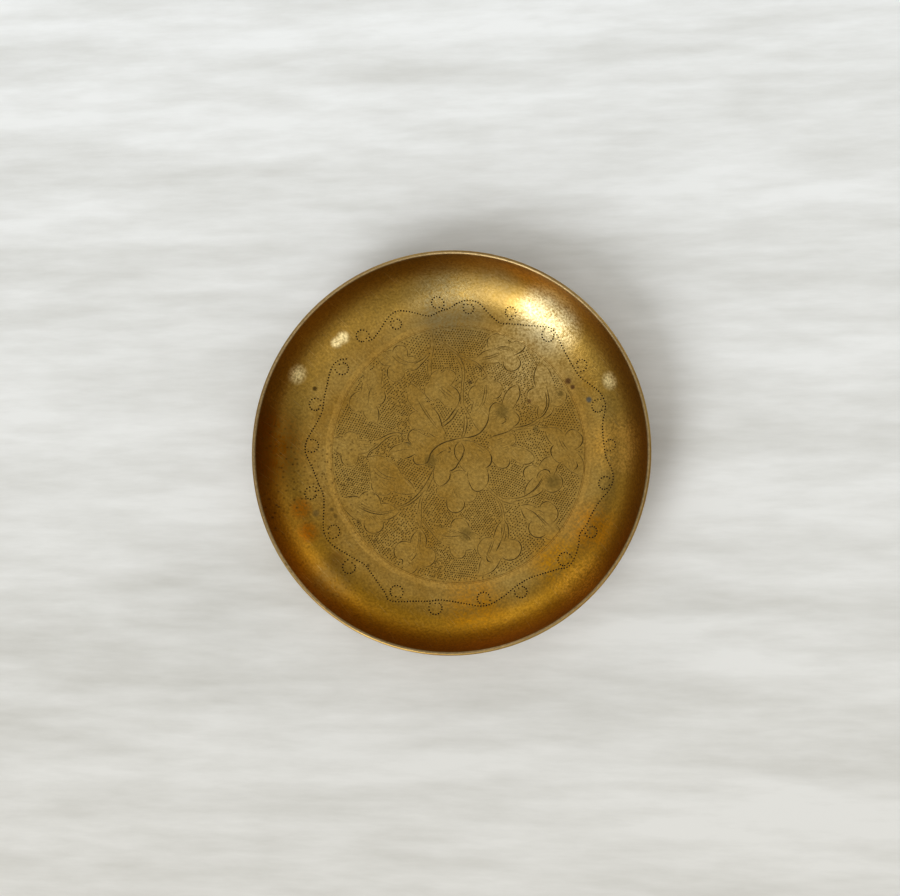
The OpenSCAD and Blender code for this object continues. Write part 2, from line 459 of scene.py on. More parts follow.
        (MID, (32, 13.4), (33.8, 14.3), (35.6, 15.9), (36.5, 18.2)),
        (FINE, (36.6, 18.2), (39, 18.7), (40.8, 20.4)),
        (MID, (40.8, 20.4), (41.4, 22.2), (40.9, 24.1)),
        (FINE, (40.9, 24.1), (39.2, 25.1), (36.6, 24.8)),
        (NONE, (36.4, 27)),
        (MID, (35.6, 29.8), (35, 31.6), (33.8, 33.3)),
        (FINE, (33.8, 33.3), (32.4, 34.6), (30.9, 35.7)),
    ], [
        (MID, (33.5, 26.2), (34.3, 23), (34.5, 19.8), (33.6, 16.9), (31.8, 14.6), (30, 13.7)),
        (MID, (32.9, 24.2), (33.6, 21.6), (33.6, 19), (32.8, 16.9), (31.2, 14.9)),
        (FINE, (32.6, 29.4), (33.2, 27)), (FINE, (33.4, 29), (34, 26.6)), (FINE, (36.8, 22.2), (39, 22.6)),
        (MID, (37.2, 21.6), (39.2, 21.7)), (FINE, (36.6, 23.2), (37.8, 24.4)),
        (FINE, (36, 22.4), (35.6, 24.6)),
        (FINE, (31.2, 22.6), (31.6, 20.8)), (FINE, (31, 17.6), (31.6, 15.6)),
        (FINE, (35.2, 19.6), (35.6, 21.8)),
    ]),
    "east_leaf": ([
        (FINE, (30, 10.3), (33.6, 10.3), (36.6, 10.3), (38.8, 9.4), (40.2, 8)),
        (MID, (40.7, 7.4), (42, 9), (43.6, 9.6), (45.6, 8.8)),
        (MID, (45.6, 8.8), (47.1, 7.1), (47.4, 4.9), (46.4, 3.2), (44.5, 1.9)),
        (FINE, (45, 1), (46.8, -1), (47.9, -3.6), (48.1, -7)),
        (NONE, (47.5, -9.6)),
        (FINE, (47.3, -8.4), (44, -7), (41.6, -5.4), (39.6, -3.2)),
        (MID, (39.3, -3.1), (37.7, -2.8), (36.2, -1.5)),
        (DEEP, (36.2, -1.5), (35.3, 0.8), (35.5, 2.6), (36.5, 3.8)),
        (MID, (35.9, 3.6), (34.2, 5.8), (33, 8.9)),
    ], [
        (MID, (39.4, 5.4), (40.6, 3.4), (42, 1.7)), (FINE, (38, 6.8), (39.4, 3.6), (41, 1.2)),
        (FINE, (36.4, 6.6), (36.6, 5)),
        (DEEP, (45, -2.8), (45.4, -4.6), (44, -6.1)), (FINE, (43.8, -1.8), (44.4, -3.8)),
        (FINE, (42.8, -2), (43.6, -4.6)),
        (FINE, (41.6, -2.4), (42.6, -5)), (FINE, (37, 5.8), (38.6, 1.6)), (FINE, (41.2, 0.4), (42.6, -1.6)),
    ]),
    "south_east_leaf": ([
        (MID, (30.6, -4.6), (31.4, -3), (33, -1.4), (35.2, -0.7)),
        (NONE, (36.2, -1.5), (38.6, -3)),
        (MID, (39.2, -3.1), (38, -4.3), (37.3, -6.1), (36.4, -7.9)),
        (MID, (37.8, -7.4), (39.2, -8.7), (39.8, -10.6), (39.2, -12.7)),
        (MID, (39.2, -12.7), (37.6, -14), (35.6, -14.4), (33.8, -13.9), (32.6, -12.9)),
        (MID, (32.4, -13.2), (31.4, -14.5), (29, -15.9), (24.4, -17)),
        (NONE, (25, -16.2)),
        (MID, (25.2, -15.8), (25.3, -13.6), (26.3, -11.3), (28.3, -9)),
        (FINE, (28.3, -9), (26.9, -10), (25.5, -9.3)),
        (MID, (25.5, -9.3), (24.7, -7.4), (25, -5.7), (26.4, -4.4), (28, -4)),
        (FINE, (28, -4), (29.2, -4.2), (30, -4.7)),
    ], [
        (MID, (32.2, -8.4), (31.3, -10.1), (29.6, -12.5), (27, -14.8), (24, -16.3), (19.8, -16.9)),
        (MID, (32, -9.8), (30.7, -11.9), (28.4, -14.2)), (FINE, (27, -6.8), (27.7, -7)),
        (MID, (29.8, -9), (30.4, -7.2), (31.8, -6)),
        (DEEP, (31.6, -6.1), (33.2, -5.7), (34.6, -6.3), (35, -7.4)),
        (FINE, (30.8, -8.6), (31.6, -7)), (FINE, (32, -7.6), (33.2, -6.6)),
        (FINE, (33.2, -8.4), (34.4, -7.4)),
        (FINE, (32.6, -9.4), (33.8, -9)), (FINE, (33, -6.8), (34.2, -7.6)),
        (FINE, (28, -11.4), (29.2, -9.6)),
    ]),
    "spray_leaf": ([
        (MID, (23.7, -19.5), (26.4, -19.1), (30.3, -20.5)),
        (MID, (31, -20.6), (31.5, -19.1), (33.6, -18), (35.4, -18.5)),
        (MID, (35.4, -18.5), (37.3, -20.3), (38, -22.6), (37.4, -24.6), (36.2, -25.9)),
        (FINE, (36.8, -26.3), (38.2, -28), (38.9, -30.4)),
        (NONE, (38, -33)),
        (FINE, (35.7, -32.8), (34, -32.3), (32.4, -31.6)),
        (MID, (33.2, -30.6), (31.8, -31.5), (30.2, -31.8), (28.2, -31), (26.9, -29.1), (26.9, -26.9),
         (27.8, -25.5)),
        (MID, (26.4, -24.9), (25.3, -24.1), (24.4, -22.6), (23.7, -20.6)),
    ], [
        (MID, (25, -20.3), (28.4, -21.9), (31, -24.4), (33.4, -27.2)),
        (MID, (30.4, -22.9), (32.4, -25), (34.6, -27.2)),
        (FINE, (29.4, -21.3), (31.4, -21.6), (32.8, -22.8)), (MID, (31.4, -22.6), (32.8, -23.3)),
        (FINE, (29.6, -26.4), (31.6, -28.6)),
        (FINE, (30.8, -26.6), (32.6, -28.8)), (FINE, (32, -27), (33.6, -29.4)),
        (FINE, (34.2, -26.4), (35.8, -28.4)),
    ]),
    "south_leaf": ([
        (MID, (16.5, -25.2), (14.8, -27.2), (13.7, -29.7), (13, -32.1)),
        (MID, (12.7, -32.2), (11.2, -31.7), (9.4, -32.1)),
        (FINE, (9.4, -32.1), (7.7, -33.9), (7, -36.2), (7.6, -38.2), (8.8, -39.2)),
        (MID, (8.9, -39.3), (7.8, -42.3), (7.4, -45.4)),
        (FINE, (7.6, -46.6), (9.8, -46.1)),
        (MID, (9.8, -46.1), (12.8, -44.7), (14.8, -42.4), (16.3, -39.5)),
        (MID, (16.5, -39.3), (18, -40.2), (20, -40.4), (22.2, -39.4), (23.7, -37.2), (23.8, -34.7),
         (22.4, -33), (19.2, -32.2)),
        (MID, (18.8, -32.3), (19.1, -30.4), (18.7, -27.6), (17.4, -24.9)),
    ], [
        (MID, (17.3, -26.7), (17.2, -29.8), (16.2, -32.7)),
        (DEEP, (16.2, -32.7), (15.2, -35), (14.2, -36.9)),
        (MID, (16.4, -26.8), (16.4, -29), (16.1, -30.8)),
        (MID, (12.7, -33.2), (11.8, -35.4), (10.6, -38.6)),
        (FINE, (13.6, -32.6), (12.6, -35.2), (11.5, -38)),
        (DEEP, (10.5, -38.8), (10.9, -40.6), (12.2, -41.1)),
        (FINE, (12, -38.4), (13.4, -40.2)), (FINE, (11.4, -39.2), (12.6, -40.6)),
        (FINE, (12.2, -31.9), (14.2, -30.4)),
        (FINE, (12.4, -32.9), (14.6, -31.2)), (FINE, (17, -33.8), (18.3, -34.6)),
        (FINE, (15.4, -36.4), (16.8, -35.8)),
        (MID, (17.9, -29.2), (17.9, -31.2), (17.4, -33)), (FINE, (10.9, -34.6), (12.2, -33.4)),
    ]),
    "middle_leaf": ([
        (MID, (-10.3, -28.8), (-8.6, -28.1)),
        (FINE, (-8.6, -28.1), (-6.6, -28), (-4.6, -28.4)),
        (MID, (-4.3, -28.4), (-3.4, -28.9)),
        (MID, (-3.4, -28.2), (-3.2, -26.3), (-2, -24.8), (-0.6, -24.4)),
        (FINE, (-0.6, -24.4), (1, -24.5), (2.4, -25.4)),
        (MID, (2.4, -25.4), (3.4, -26.6), (3.8, -28.2)),
        (FINE, (4, -29.7), (6, -30), (8, -31.2)),
        (NONE, (7, -36.2)),
        (FINE, (5.2, -36.3), (3.7, -36.5), (2.4, -36.9)),
        (MID, (2.4, -36.8), (2.1, -38.5), (0.9, -39.7), (-0.7, -39.8)),
        (FINE, (-0.7, -39.8), (-2.6, -38.8), (-3.7, -36.8), (-3.8, -34.7)),
        (MID, (-3.7, -34.5), (-5.2, -34.4)),
        (NONE, (-8.3, -33)),
    ], [
        (FINE, (-8.8, -30.2), (-4.8, -31.4), (0.6, -31.3)), (MID, (-7, -32), (-3.2, -32.2)),
        (MID, (-4.2, -31.6), (0.4, -30.9)),
        (MID, (-4.8, -29.6), (-3.2, -28.9)), (MID, (-4, -30), (-1.6, -29)),
        (MID, (-2.6, -30.1), (-0.2, -29.4)),
        (MID, (-0.8, -29.6), (1.6, -30.2), (3.4, -31.6)), (MID, (2, -30.4), (3.6, -31.6), (4.2, -33)),
        (FINE, (1.2, -31), (2.8, -32.2)),
        (FINE, (0.2, -31.8), (2.4, -33)), (FINE, (3.4, -30.4), (4.8, -31.8)),
        (FINE, (-2.6, -34.2), (-0.8, -34.6)),
    ]),
    "foot_leaf": ([
        (MID, (-16.4, -29), (-17.9, -30.5), (-18.9, -32.3), (-19.2, -34.1)),
        (MID, (-19.4, -33.8), (-21, -33.3), (-23.3, -33.6), (-25, -35.2)),
        (MID, (-25, -35.2), (-25.6, -37), (-25.2, -38.8), (-24.3, -40)),
        (DEEP, (-23.8, -40.3), (-22.4, -40.3), (-22.3, -42.2)),
        (NONE, (-22, -44.6), (-19.6, -46)),
        (MID, (-19.6, -46), (-17.6, -45), (-16, -43)),
        (FINE, (-15.8, -43.1), (-13.6, -43.3)),
        (MID, (-13.6, -43.3), (-11.2, -42.5), (-9.7, -40.8), (-9.3, -38.8)),
        (FINE, (-9.3, -38.8), (-9.8, -37), (-11.4, -35.8), (-13.2, -35.6)),
        (MID, (-13.3, -35.6), (-12.9, -33.4), (-13.4, -30.7), (-14.9, -28.7)),
    ], [
        (FINE, (-15.7, -29.4), (-15.9, -32.6), (-16.4, -35.7)),
        (FINE, (-15.1, -29.6), (-15.3, -33), (-15.6, -36)),
        (FINE, (-16.9, -35.2), (-17.4, -37.6)), (MID, (-16.6, -37.6), (-17.6, -39.4), (-18.9, -40.8)),
        (FINE, (-17.8, -37.4), (-19.4, -39.4)), (MID, (-21, -37.4), (-20.3, -38.2)),
        (FINE, (-19.6, -41.4), (-18.2, -42.6)),
        (FINE, (-20.4, -40.4), (-19.2, -42.4)), (FINE, (-18.8, -41.4), (-17.2, -41.8)),
        (MID, (-20.2, -38.8), (-19.6, -40)),
        (FINE, (-15.6, -37.4), (-14.8, -38.4)), (MID, (-23.4, -38.9), (-22.6, -38.9)),
    ]),
    "west_leaf": ([
        (DEEP, (-45.8, -16.5), (-43, -15.9), (-40.4, -15.9), (-39.4, -16.3)),
        (MID, (-39.3, -16.2), (-38.2, -14.8), (-36.8, -14.1), (-35.6, -13.8)),
        (MID, (-34.4, -14.2), (-32.6, -15.2), (-31.3, -16.8), (-30.9, -18.8)),
        (MID, (-30.8, -18.8), (-29.2, -18.5), (-27.4, -18.8)),
        (FINE, (-27.4, -18.8), (-25.2, -20.2), (-23.5, -21.5)),
        (MID, (-23.5, -21.8), (-25.2, -23.4), (-27.4, -24.6), (-30, -24.9)),
        (MID, (-30, -25.2), (-29.8, -27.4), (-31.2, -29.5), (-34, -30.3)),
        (MID, (-34, -30.3), (-36.2, -29.3), (-37.4, -27.2), (-37.3, -25.2)),
        (FINE, (-37.8, -25.2), (-40.4, -25)),
        (MID, (-40.6, -25), (-43, -23.2), (-45.4, -20.7)),
    ], [
        (MID, (-40, -19.7), (-37.4, -21.2), (-34, -22.4), (-30.4, -22.8), (-26.6, -22)),
        (FINE, (-39.7, -18.9), (-36.6, -20.7), (-32.4, -21.9), (-28.4, -21.8), (-25.2, -21)),
        (FINE, (-39.4, -17.8), (-37, -19.6), (-34.4, -20.6)), (FINE, (-38.4, -17.4), (-35.8, -19.2)),
        (FINE, (-39.2, -22.6), (-37, -24.4)), (FINE, (-38, -22.8), (-36, -24.6)),
        (MID, (-36.8, -23), (-35, -24.8)),
        (MID, (-35.6, -23.2), (-34, -24.9)), (MID, (-34.4, -23.3), (-33, -24.9)),
        (FINE, (-33.2, -23.4), (-31.8, -24.9)),
        (FINE, (-32, -23.6), (-30.8, -24.8)), (FINE, (-43.4, -20.4), (-41.2, -22.4)),
        (FINE, (-42.2, -19.8), (-40, -21.8)),
    ]),
    "broad_leaf": ([
        (FINE, (-36.2, -0.8), (-34.8, -0.3), (-31, -0.2), (-27.6, -1.6)),
        (FINE, (-25.6, -3), (-23.6, -5.6), (-22, -8.4)),
        (MID, (-21.6, -8.6), (-19.6, -10), (-17.6, -13)),
        (MID, (-17.5, -14.7), (-20.4, -15.1), (-22.6, -14.9)),
        (FINE, (-22.6, -14.9), (-24.6, -14.5), (-26.4, -13.8)),
        (MID, (-26.6, -13.8), (-27.6, -15), (-28.9, -15.5)),
        (FINE, (-28.9, -15.5), (-31, -15.3), (-33.2, -14.2)),
        (MID, (-33.6, -13.9), (-34.4, -12.4), (-34.5, -10.5)),
        (FINE, (-34.6, -10.2), (-35.2, -6.4), (-35.2, -2.6)),
    ], [
        (FINE, (-34, -5.3), (-32.2, -7.4), (-29.2, -9), (-25.2, -9.8)),
        (FINE, (-33.2, -4.4), (-31, -6.6), (-27.8, -8.3), (-24.6, -9)),
        (FINE, (-30, -9.8), (-26.8, -10.2)), (MID, (-29.6, -2.4), (-29, -2.8)),
        (FINE, (-31.8, -10.6), (-30, -12.2)),
        (FINE, (-30.4, -10.4), (-28.4, -12.2)), (FINE, (-28.8, -10.8), (-26.8, -12.4)),
        (FINE, (-27.2, -10.8), (-25.2, -12.2)),
        (FINE, (-30.6, -4.2), (-27.8, -6)), (FINE, (-29.4, -3.8), (-26.8, -5.8)),
        (FINE, (-28, -7), (-25.6, -8)),
    ]),
    "west_trefoil": ([
        (MID, (-50, 6.9), (-47.6, 7.3), (-45.9, 7.6)),
        (FINE, (-45.5, 8), (-44, 9.2), (-42, 9.3), (-40.4, 8)),
        (MID, (-40.4, 8), (-39.9, 6.2)),
        (FINE, (-39.6, 5.9), (-37.7, 6), (-35.3, 5.3)),
        (NONE, (-34, 3.4), (-36, 1.4)),
        (FINE, (-36.4, 1.2), (-38.2, 0.7), (-39.8, 0.6)),
        (MID, (-39.9, 0), (-39.9, -1.6), (-40.8, -3.4)),
        (FINE, (-40.8, -3.4), (-42.6, -4.3), (-44.6, -4.1)),
        (MID, (-44.6, -4.1), (-46, -2.8), (-46.7, -0.6), (-46.7, 0.7)),
        (MID, (-46.7, 0.8), (-48, 1.2), (-49.4, 2.3)),
    ], [
        (DEEP, (-41.8, 4.9), (-41.3, 4.5)), (FINE, (-38.6, 4.2), (-34.6, 4.4)),
        (FINE, (-38.6, 3.4), (-35.6, 3.2)),
        (FINE, (-38.8, 2.6), (-36.4, 2.2)), (FINE, (-48.4, 4.6), (-46, 3.6)),
        (FINE, (-47.6, 5.6), (-44.6, 4.4)),
        (FINE, (-43.2, 2.4), (-40.6, 2)),
    ]),
    "north_west_leaf": ([
        (MID, (-38.2, 28.4), (-38.5, 26.8), (-38.6, 25.2)),
        (MID, (-39.4, 25.2), (-41.4, 24.2), (-42.9, 22.7), (-43.4, 20.4)),
        (FINE, (-43.4, 20.4), (-42.8, 18.2), (-41, 17.1)),
        (MID, (-40.6, 17), (-38.4, 17.4)),
        (FINE, (-38, 17.6), (-37.4, 15.6), (-36, 14)),
        (NONE, (-34, 12.8)),
        (MID, (-32.2, 13), (-31.7, 15), (-31.9, 17.4), (-32.9, 19.4)),
        (MID, (-32.2, 19.7), (-30.6, 20.1), (-29.3, 21.8), (-29.2, 23.4), (-29.7, 25)),
        (NONE, (-30.6, 26.6)),
        (FINE, (-30.9, 27.2), (-30.5, 30), (-30.4, 32.6)),
        (NONE, (-31.4, 35), (-35.8, 33)),
        (FINE, (-37, 32.2), (-37.8, 29.8)),
    ], [
        (MID, (-34.9, 26.2), (-35.6, 24.2), (-35.7, 22.2)), (MID, (-35.7, 22.2), (-36, 20)),
        (FINE, (-34.2, 27.6), (-34.9, 24.8)),
        (FINE, (-34, 24.4), (-32.6, 25.4)), (FINE, (-34, 23.4), (-32.4, 24.4)),
        (MID, (-33.9, 22.4), (-32.6, 23.6)),
        (FINE, (-34, 21.4), (-32.6, 22.4)), (FINE, (-34.6, 18.4), (-35.4, 16)),
        (FINE, (-36.4, 28.2), (-35.8, 25.4)),
        (FINE, (-35.6, 30.4), (-35, 28)), (FINE, (-34.2, 31.6), (-34, 29)),
        (FINE, (-33, 29.6), (-32.2, 28.2)),
    ]),
    "north_leaf": ([
        (MID, (-31.4, 40), (-29.4, 40.6), (-26.9, 40.8)),
        (MID, (-26.4, 40.2), (-25.8, 41.6), (-24.6, 42.6), (-23.2, 42.8)),
        (FINE, (-23.2, 42.8), (-21.6, 42.3), (-20.7, 41)),
        (MID, (-20.7, 41), (-20.4, 39.4), (-20.6, 38.3)),
        (MID, (-20.4, 38.3), (-18.8, 38.5), (-17.2, 37.8)),
        (FINE, (-17.2, 37.8), (-16, 36.8)),
        (NONE, (-16, 35.6), (-18.6, 34.4)),
        (FINE, (-18.6, 33.6), (-20.2, 33.4), (-21.4, 32.8)),
        (MID, (-21.4, 32.3), (-22, 30.6), (-23.4, 29.1)),
        (FINE, (-23.4, 29.1), (-25.6, 28.6), (-27.6, 29.6)),
        (MID, (-27.6, 29.6), (-28.4, 31.6), (-28.2, 33.6), (-27.2, 34.9)),
        (DEEP, (-27, 34.9), (-28.6, 35)),
        (MID, (-28.6, 35), (-30, 35.3), (-31.9, 36.9)),
        (FINE, (-32, 37.2), (-32.4, 38.6)),
    ], [
        (FINE, (-25.2, 39.6), (-23.8, 38), (-21.6, 36.7), (-19, 36), (-16.4, 36.6)),
        (FINE, (-26.4, 38.6), (-24.8, 37), (-22.4, 35.6), (-19.6, 35)),
        (FINE, (-30.4, 38.8), (-28.4, 37.2)),
        (FINE, (-29.2, 39.2), (-27.2, 37.6)), (MID, (-26.6, 33.2), (-25.4, 32)),
        (FINE, (-24.8, 34.4), (-23.2, 33.4)),
        (MID, (-29.2, 40.9), (-29, 39.9)), (FINE, (-24.4, 31), (-23.2, 31.8)),
    ]),
    "left_stem": ([
        (MID, (-20.2, 8.8), (-22.4, 8.5), (-24.6, 8.9), (-27.6, 8.3), (-30.6, 6.9), (-33.6, 5.5)),
        (FINE, (-31.8, 4.7), (-34.2, 3), (-36.6, 1)),
        (MID, (-36.9, -2.4), (-36.3, -0.6), (-35, 1.5), (-32.4, 3.2), (-30.2, 5.3), (-27.4, 7.2),
         (-24.6, 8)),
    ], [(FINE, (-24.8, 8.9), (-28, 9.9), (-31.6, 11.6), (-35.2, 13.5))]),
    "root_stem": ([
        (MID, (-9.7, -4.3), (-11, -7), (-12.9, -10.4), (-15.6, -14.2), (-18.4, -17), (-21.4, -18.9),
         (-24.2, -20)),
        (NONE, (-23.3, -20.4)),
        (MID, (-23.3, -20.4), (-20.2, -19.3), (-17.6, -17.6), (-15.6, -15.9), (-13.7, -13.6)),
        (MID, (-12.9, -14.4), (-11.8, -11.8), (-10.2, -8.3)),
    ], []),
    "root_runner": ([
        (FINE, (-14.5, -15), (-15.5, -17.4), (-16.1, -20), (-16.4, -22.2)),
        (FINE, (-16.8, -24.4), (-16.3, -26.4), (-15.6, -28)),
        (FINE, (-15.2, -28.2), (-15, -25.4), (-14.9, -21), (-14.6, -17.6), (-13.8, -15.4)),
    ], [(DEEP, (-15.6, -27.7), (-15.3, -28.2))]),
    "root_branch": ([
        (FINE, (-14.9, -25), (-12.9, -27.6), (-10.9, -29.9), (-8.4, -32.9), (-6.2, -34)),
        (FINE, (-9.4, -30.2), (-12.3, -27.4), (-14.2, -24.6)),
    ], []),
    "middle_stem": ([
        (MID, (0.6, 6.9), (1.3, 9), (1.7, 11.6), (1.7, 15)),
        (MID, (2.6, 15.4), (2.9, 12.4), (2.3, 9), (1.6, 6.9)),
    ], [(DEEP, (0.8, 6.6), (1.4, 6.5))]),
    "rising_stem": ([
        (FINE, (1.6, 19.2), (1.4, 22), (1.4, 26), (1.9, 30.4), (1.8, 33.6), (0.8, 36.4), (-1, 39)),
        (FINE, (-1.4, 37.6), (0.2, 35), (0.9, 31.6), (0.7, 27.4), (0.4, 23), (0.2, 19.6)),
    ], [(DEEP, (0.6, 36.2), (1.4, 34.9)), (FINE, (1.7, 19.6), (3, 16.9), (4.2, 14.7))]),
    "slant_stem": ([
        (DEEP, (-1.2, 18.6), (-2.6, 16.7), (-4.6, 14.1), (-6.9, 12.3)),
        (DEEP, (-6.7, 10.8), (-4.6, 12.4), (-2.4, 14.6), (-0.4, 17.9)),
    ], []),
    "north_stem": ([
        (MID, (-11.7, 43.6), (-11.6, 42), (-12.2, 41)),
        (NONE, (-11.6, 38.6)),
        (FINE, (-12, 37.6), (-12.6, 34.4), (-12.2, 30.6)),
        (FINE, (-11, 31.4), (-11.2, 34.6), (-10.8, 37.8)),
        (MID, (-10.8, 38), (-10.4, 40.4), (-10, 42.8)),
        (FINE, (-10, 43), (-10.6, 46), (-10.2, 49)),
    ], []),
    "north_branch": ([
        (MID, (-12.6, 39.4), (-14, 37.7), (-16, 36.4), (-18, 35.4)),
        (MID, (-19.2, 32.8), (-16.8, 33.5), (-14.8, 35.4), (-13, 37.4), (-11.7, 38.8)),
    ], []),
    "cross_stem": ([
        (FINE, (-7.2, 44.2), (-4.4, 42.2), (-1.4, 40.2), (0, 38.6), (3.2, 37.8), (6.2, 37.7)),
        (NONE, (6.6, 36.6)),
        (FINE, (6.6, 35.6), (8.4, 33.8), (9.8, 32), (10.6, 30.4)),
        (MID, (8.5, 31.4), (8.4, 32.7), (7.2, 34), (5.4, 35)),
        (FINE, (3.8, 35.9), (1.4, 36.9), (-1, 38.8), (-4.6, 41.4), (-7.4, 43.6)),
    ], [
        (FINE, (1.6, 37.5), (4.8, 36.6), (7.6, 34.9), (9.4, 32.9)),
        (MID, (12, 31.8), (12.9, 30.9)), (MID, (13.3, 28.8), (14, 28.1)),
    ]),
    "east_stem": ([
        (MID, (10.9, 6), (13.2, 7.2), (16, 8), (18.6, 8.9), (20.6, 10.2)),
        (MID, (20.6, 10.3), (23.6, 10.8), (26.4, 11.5), (28.6, 12.7), (30, 13.7)),
        (NONE, (31.2, 13.4)),
        (MID, (31.2, 13.3), (28.6, 11.5), (25.8, 10.7)),
        (DEEP, (30, 10.2), (28.4, 10.3)),
        (FINE, (27.6, 10.2), (23, 9.7), (18.8, 8.9)),
    ], []),
    "south_stem": ([
        (FINE, (10.9, -11.8), (13, -13.9), (15.4, -15.9), (17.4, -16.8), (19.8, -16.9)),
        (NONE, (21, -17.6)),
        (MID, (24.8, -17), (22.8, -17.6), (20.8, -17.9)),
        (FINE, (22.4, -19.3), (19.4, -18.6), (16.6, -17.8), (14, -16), (12, -14.4), (10.4, -12.4)),
    ], []),
    "south_runner": ([
        (FINE, (14.4, -16.8), (15.6, -19.6), (16.4, -22.4), (16.6, -24.8)),
        (FINE, (17.6, -24.6), (17.2, -22), (16.2, -18.8), (15.2, -17.2)),
    ], [(FINE, (18.4, -26.2), (19.2, -28.4))]),
}


bouquet_growth = 1.005
bouquet_shift = (1.0, -0.3)


def off_axis(strokes):
    """The strokes moved to where the bouquet really sits, about 1 mm off the tray's axis."""
    across, along = bouquet_shift
    moved = []
    for width, *points in strokes:
        moved.append((width, *((x * bouquet_growth + across, y + along) for x, y in points)))
    return moved


bouquet = {name: (off_axis(outline), off_axis(inside)) for name, (outline, inside) in bouquet.items()}


def smooth_path(points, step):
    """Points along a smooth line through the given ones, no further apart than the step."""
    given = [Vector((p[0], p[1], 0)) for p in points]
    if len(given) == 1:
        return given
    ends = [2 * given[0] - given[1]] + given + [2 * given[-1] - given[-2]]
    path = []
    for before, a, b, after in zip(ends, ends[1:], ends[2:], ends[3:]):
        count = max(1, ceil((b - a).length / step))
        for i in range(count):
            t = i / count
            bend = (after - 3 * b + 3 * a - before) * t + (2 * before - 5 * a + 4 * b - after)
            path.append(a + ((b - before) * t + bend * t * t) / 2)
    return path + [given[-1]]


# Strokes that touch can't be cut together, so each goes in the first set it stays clear of.
clear = 0.2
sets = []
for outline, inside in bouquet.values():
    for width, *points in outline + inside:
        if not width:
            continue
        path = smooth_path(points, 0.35)
        for strokes, near in sets:
            cells = {(round(p.x) + i, round(p.y) + j) for p in path for i in (-1, 0, 1) for j in (-1, 0, 1)}
            rivals = [r for cell in cells for r in near.get(cell, ())]
            if all((p - q).length > (width + w) / 2 + clear for p in path for q, w in rivals):
                break
        else:
            strokes, near = [], {}
            sets.append((strokes, near))
        strokes.append((width, points))
        for p in path:
            near.setdefault((round(p.x), round(p.y)), []).append((p, width))

# Each cutter is a four-sided bar along its stroke, a corner down and half sunk in the floor.
# It cuts a V as wide as the stroke and a third as deep, which narrows to its ends.
for strokes, near in sets:
    curve = bpy.data.curves.new("graver_cuts", "CURVE")
    curve.dimensions = "3D"
    curve.bevel_depth = 0.5
    curve.bevel_resolution = 0
    curve.resolution_u = 4
    curve.use_fill_caps = True
    for width, points in strokes:
        line = curve.splines.new("BEZIER")
        line.bezier_points.add(len(points) - 1)
        for knot, (x, y) in zip(line.bezier_points, points):
            knot.co = (x, y, 0)
            knot.handle_left_type = knot.handle_right_type = "AUTO"
            knot.radius = width
        line.bezier_points[0].radius = line.bezier_points[-1].radius = width * 0.4
    holder = bpy.data.objects.new("graver_cuts", curve)
    scene.collection.objects.link(holder)
    graph = bpy.context.evaluated_depsgraph_get()
    cutter_mesh = bpy.data.meshes.new_from_object(holder.evaluated_get(graph))
    bpy.data.objects.remove(holder)
    bm = bmesh.new()
    bm.from_mesh(cutter_mesh)
    bmesh.ops.remove_doubles(bm, verts=bm.verts, dist=0.004)
    bmesh.ops.recalc_face_normals(bm, faces=bm.faces)
    flatter = Matrix.Translation((0, 0, floor_height)) @ Matrix.Diagonal((1, 1, 0.7, 1))
    bmesh.ops.transform(bm, verts=bm.verts, matrix=flatter)
    bm.to_mesh(cutter_mesh)
    bm.free()
    cut(dish, cutter_mesh)

# Border
# Two fine circles scribed round the bouquet on the lathe, and outside them, on the foot of the
# cove, a waving vine with curls, made of single round dots struck with a pointed punch.
bm = bmesh.new()
for ring_radius, half_width in ((49.4, 0.07), (49.95, 0.06)):
    upright = Matrix.Translation((ring_radius, 0, floor_height)) @ Matrix.Rotation(pi / 2, 4, "X")
    bmesh.ops.create_circle(bm, segments=4, radius=half_width, matrix=upright)
bmesh.ops.spin(
    bm,
    geom=bm.verts[:] + bm.edges[:],
    cent=(0, 0, 0),
    axis=(0, 0, 1),
    angle=2 * pi,
    steps=180,
    use_merge=True,
)
bmesh.ops.remove_doubles(bm, verts=bm.verts, dist=0.001)
bmesh.ops.recalc_face_normals(bm, faces=bm.faces)
ring_mesh = bpy.data.meshes.new("scribed_circles")
bm.to_mesh(ring_mesh)
bm.free()
cut(dish, ring_mesh)

